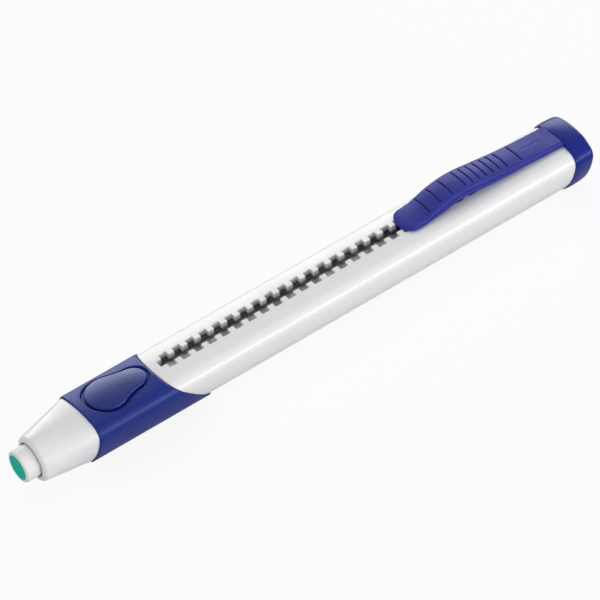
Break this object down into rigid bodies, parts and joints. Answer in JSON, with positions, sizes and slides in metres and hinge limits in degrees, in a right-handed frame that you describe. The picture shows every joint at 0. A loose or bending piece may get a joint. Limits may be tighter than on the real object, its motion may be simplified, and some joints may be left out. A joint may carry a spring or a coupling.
{
  "type": "pencil eraser stick",
  "caption": "Pen-shaped holder with a triangular body, soft front grip, toothed slot and pocket-clip slider that feeds a round eraser stick out of the nose.",
  "frame": {"origin": "centre of the eraser's flat rubbing face, on the eraser's axis", "axes": "+X runs along the eraser's axis from the rubbing face to the end cap; +Z points out of the slotted face, towards the pocket clip; +Y completes a right-handed set"},
  "size_m": [0.1373, 0.0146, 0.0172],
  "materials": {
    "white_plastic": "satin moulded plastic",
    "grip_rubber": "soft matt rubber",
    "blue_plastic": "satin moulded plastic",
    "dark_plastic": "matt moulded plastic",
    "eraser_white": "soft matt vinyl",
    "eraser_teal": "soft matt vinyl"
  },
  "bodies": {
    "barrel": {"barrel": "white_plastic", "nose_cone": "white_plastic", "grip_sleeve": "grip_rubber", "thumb_pad": "grip_rubber", "end_cap": "blue_plastic"},
    "slider": {"carriage": "dark_plastic", "clip": "blue_plastic"},
    "lock": {"lock_bar": "blue_plastic"},
    "refill": {"eraser_skin": "eraser_white", "eraser_core": "eraser_teal"}
  },
  "joints": [
    {"name": "slider_advance", "type": "slide", "parent": "barrel", "child": "slider", "axis": [-1, 0, 0], "range_m": [0, 0.0576]},
    {"name": "refill_pull", "type": "slide", "parent": "slider", "child": "refill", "axis": [-1, 0, 0], "range_m": [0, 0.104]},
    {"name": "lock_press", "type": "slide", "parent": "slider", "child": "lock", "axis": [0, 0, -1], "range_m": [0, 0.0016], "stiffness_N_per_m": 1200}
  ]
}
